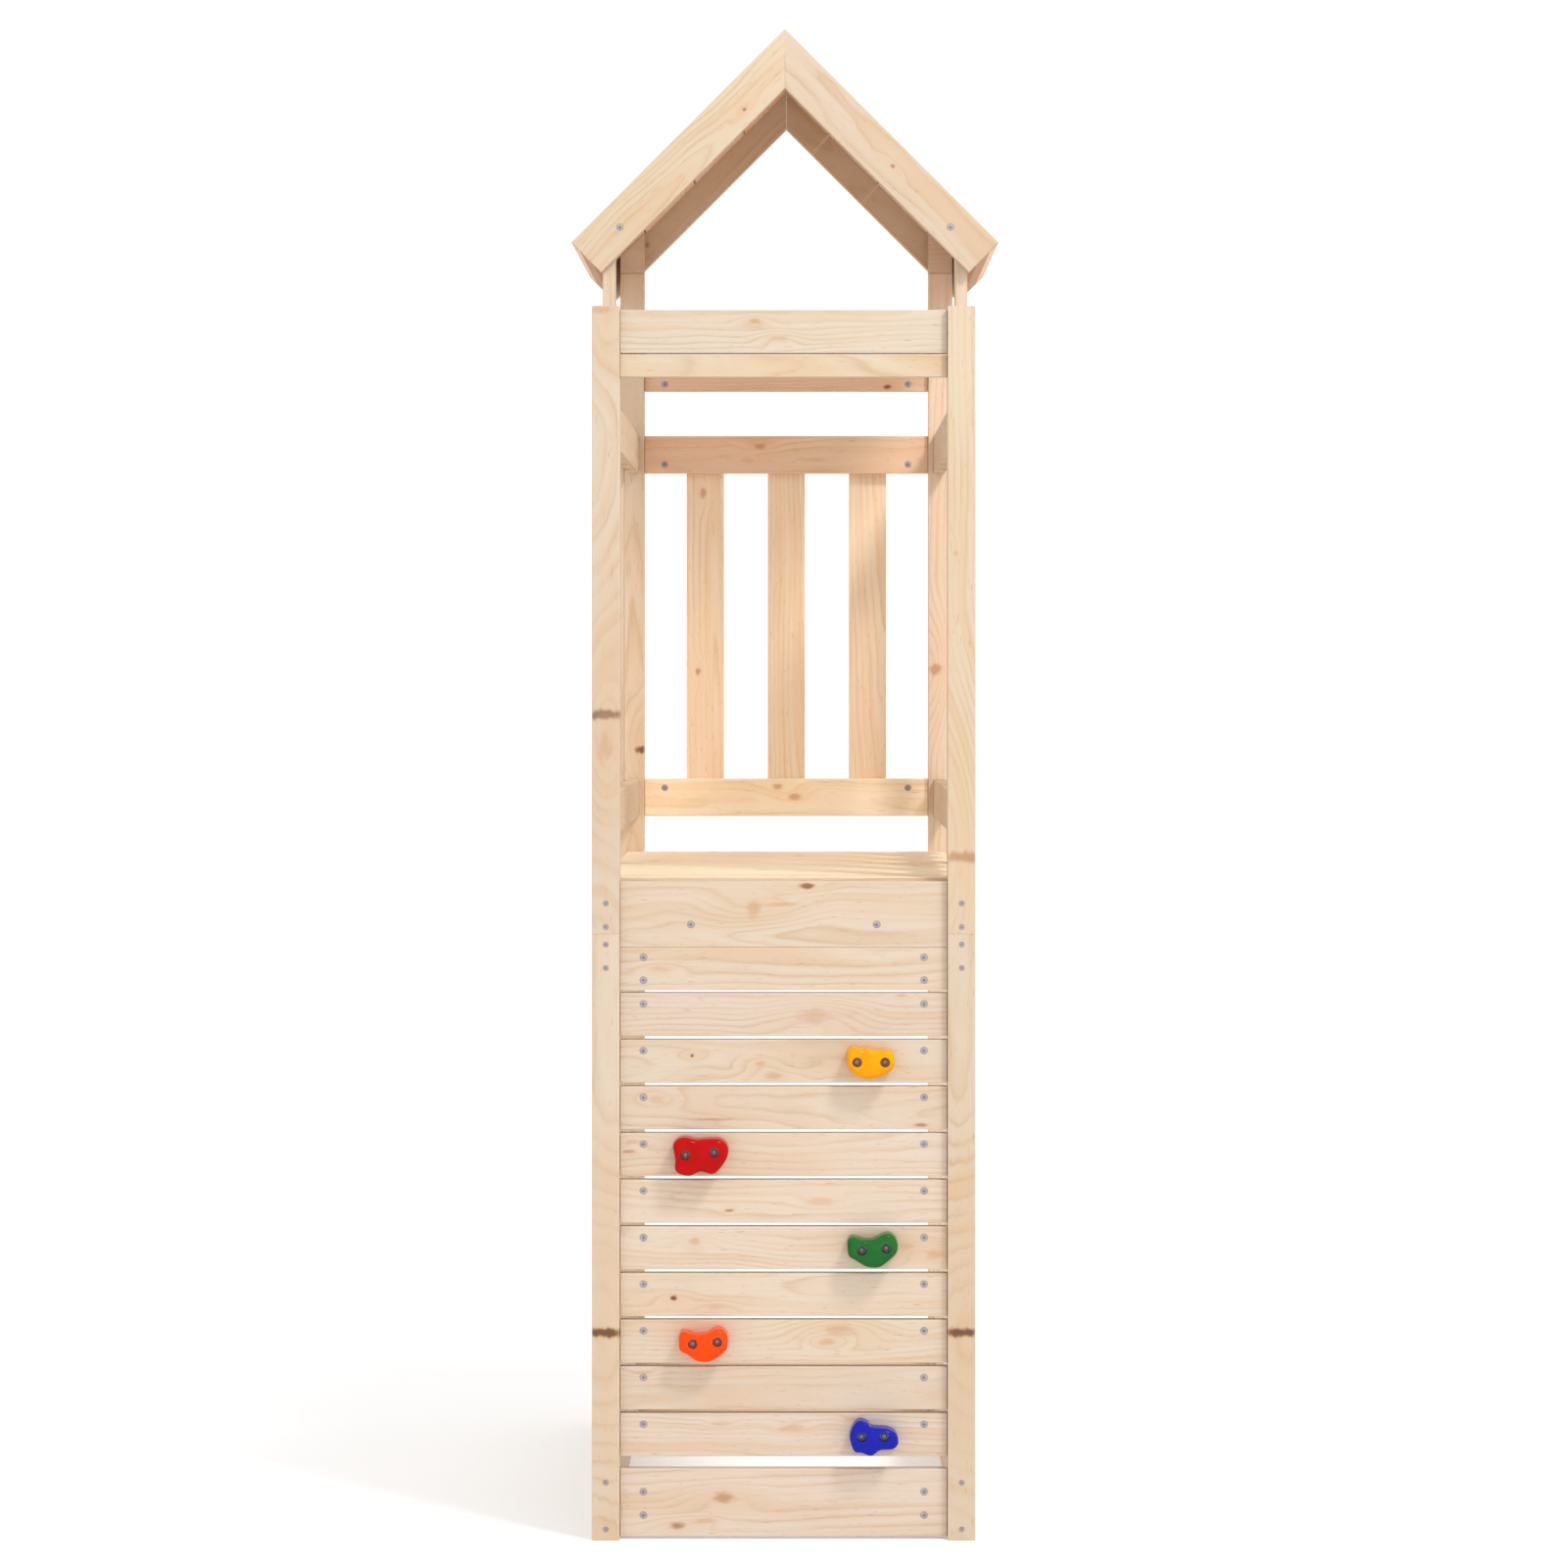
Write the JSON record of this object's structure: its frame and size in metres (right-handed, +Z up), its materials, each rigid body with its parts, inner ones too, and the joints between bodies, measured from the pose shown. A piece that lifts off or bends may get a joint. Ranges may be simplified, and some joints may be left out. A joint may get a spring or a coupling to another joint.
{
  "type": "rock climbing wall",
  "caption": "Freestanding timber climbing wall with moulded plastic grips, leading to a railed look-out platform under a small gabled roof.",
  "frame": {"origin": "on the ground, at the bottom centre of the whole object's bounding box", "axes": "+Z up, -Y towards the climbing side, +X to the right for someone who faces the climbing side"},
  "size_m": [0.6134, 0.9352, 2.0844],
  "materials": {
    "pine": "planed, untreated softwood with knots",
    "blue_plastic": "glossy moulded plastic",
    "green_plastic": "glossy moulded plastic",
    "orange_plastic": "glossy moulded plastic",
    "red_plastic": "glossy moulded plastic",
    "yellow_plastic": "glossy moulded plastic"
  },
  "bodies": {
    "root": {"blue_grip": "blue_plastic", "climbing_plank_01": "pine", "climbing_plank_02": "pine", "climbing_plank_03": "pine", "climbing_plank_04": "pine", "climbing_plank_05": "pine", "climbing_plank_06": "pine", "climbing_plank_07": "pine", "climbing_plank_08": "pine", "climbing_plank_09": "pine", "climbing_plank_10": "pine", "deck": "pine", "front_gable": "pine", "front_header_board": "pine", "front_header_strip": "pine", "front_kick_board": "pine", "front_post_left": "pine", "front_post_right": "pine", "green_grip": "green_plastic", "left_baluster_1": "pine", "left_baluster_2": "pine", "left_baluster_3": "pine", "left_baluster_4": "pine", "left_eave_strip": "pine", "left_guard_bottom_rail": "pine", "left_guard_top_rail": "pine", "left_kick_board": "pine", "left_roof_board_1": "pine", "left_roof_board_2": "pine", "left_roof_board_3": "pine", "left_roof_board_4": "pine", "left_roof_upright": "pine", "orange_grip": "orange_plastic", "rear_baluster_1": "pine", "rear_baluster_2": "pine", "rear_baluster_3": "pine", "rear_gable": "pine", "rear_guard_bottom_rail": "pine", "rear_guard_top_rail": "pine", "rear_header_rail": "pine", "rear_kick_board": "pine", "rear_post_left": "pine", "rear_post_right": "pine", "red_grip": "red_plastic", "right_baluster_1": "pine", "right_baluster_2": "pine", "right_baluster_3": "pine", "right_baluster_4": "pine", "right_eave_strip": "pine", "right_guard_bottom_rail": "pine", "right_guard_top_rail": "pine", "right_kick_board": "pine", "right_roof_board_1": "pine", "right_roof_board_2": "pine", "right_roof_board_3": "pine", "right_roof_board_4": "pine", "right_roof_upright": "pine", "sill_board": "pine", "upper_plank": "pine", "yellow_grip": "yellow_plastic"}
  },
  "joints": []
}
